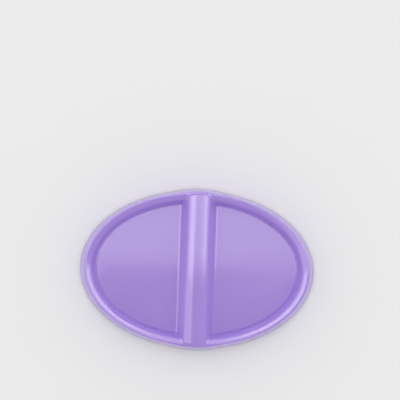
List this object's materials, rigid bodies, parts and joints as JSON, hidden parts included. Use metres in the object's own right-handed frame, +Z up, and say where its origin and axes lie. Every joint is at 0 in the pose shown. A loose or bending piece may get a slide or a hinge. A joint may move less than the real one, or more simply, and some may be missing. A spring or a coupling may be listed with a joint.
{
  "type": "magnetic pin bowl",
  "caption": "Oval pin dish with a flared skirt and a raised handle bar across its middle, magnets sealed under its floor, and a screwed base plate on rubber feet.",
  "frame": {"origin": "centre of the table plane under the bowl, where the rubber feet rest", "axes": "+Z up, X along the oval's long way, Y along the handle bar, -Y the front"},
  "size_m": [0.1214, 0.0834, 0.0162],
  "materials": {
    "shell_plastic": "polished lavender moulding",
    "base_plastic": "fine spark-eroded texture",
    "ferrite": "sintered ferrite, dark grey",
    "zinc_steel": "zinc plated sheet",
    "foam": "closed-cell foam",
    "screw_steel": "nickel plated",
    "foot_rubber": "soft moulded rubber"
  },
  "bodies": {
    "root": {"bowl_shell": "shell_plastic", "base_plate": "base_plastic", "magnet_left": "ferrite", "magnet_right": "ferrite", "backing_plate_left": "zinc_steel", "backing_plate_right": "zinc_steel", "foam_pad_left": "foam", "foam_pad_right": "foam", "cover_screws": "screw_steel", "foot_front_left": "foot_rubber", "foot_front_right": "foot_rubber", "foot_back_left": "foot_rubber", "foot_back_right": "foot_rubber"}
  },
  "joints": []
}
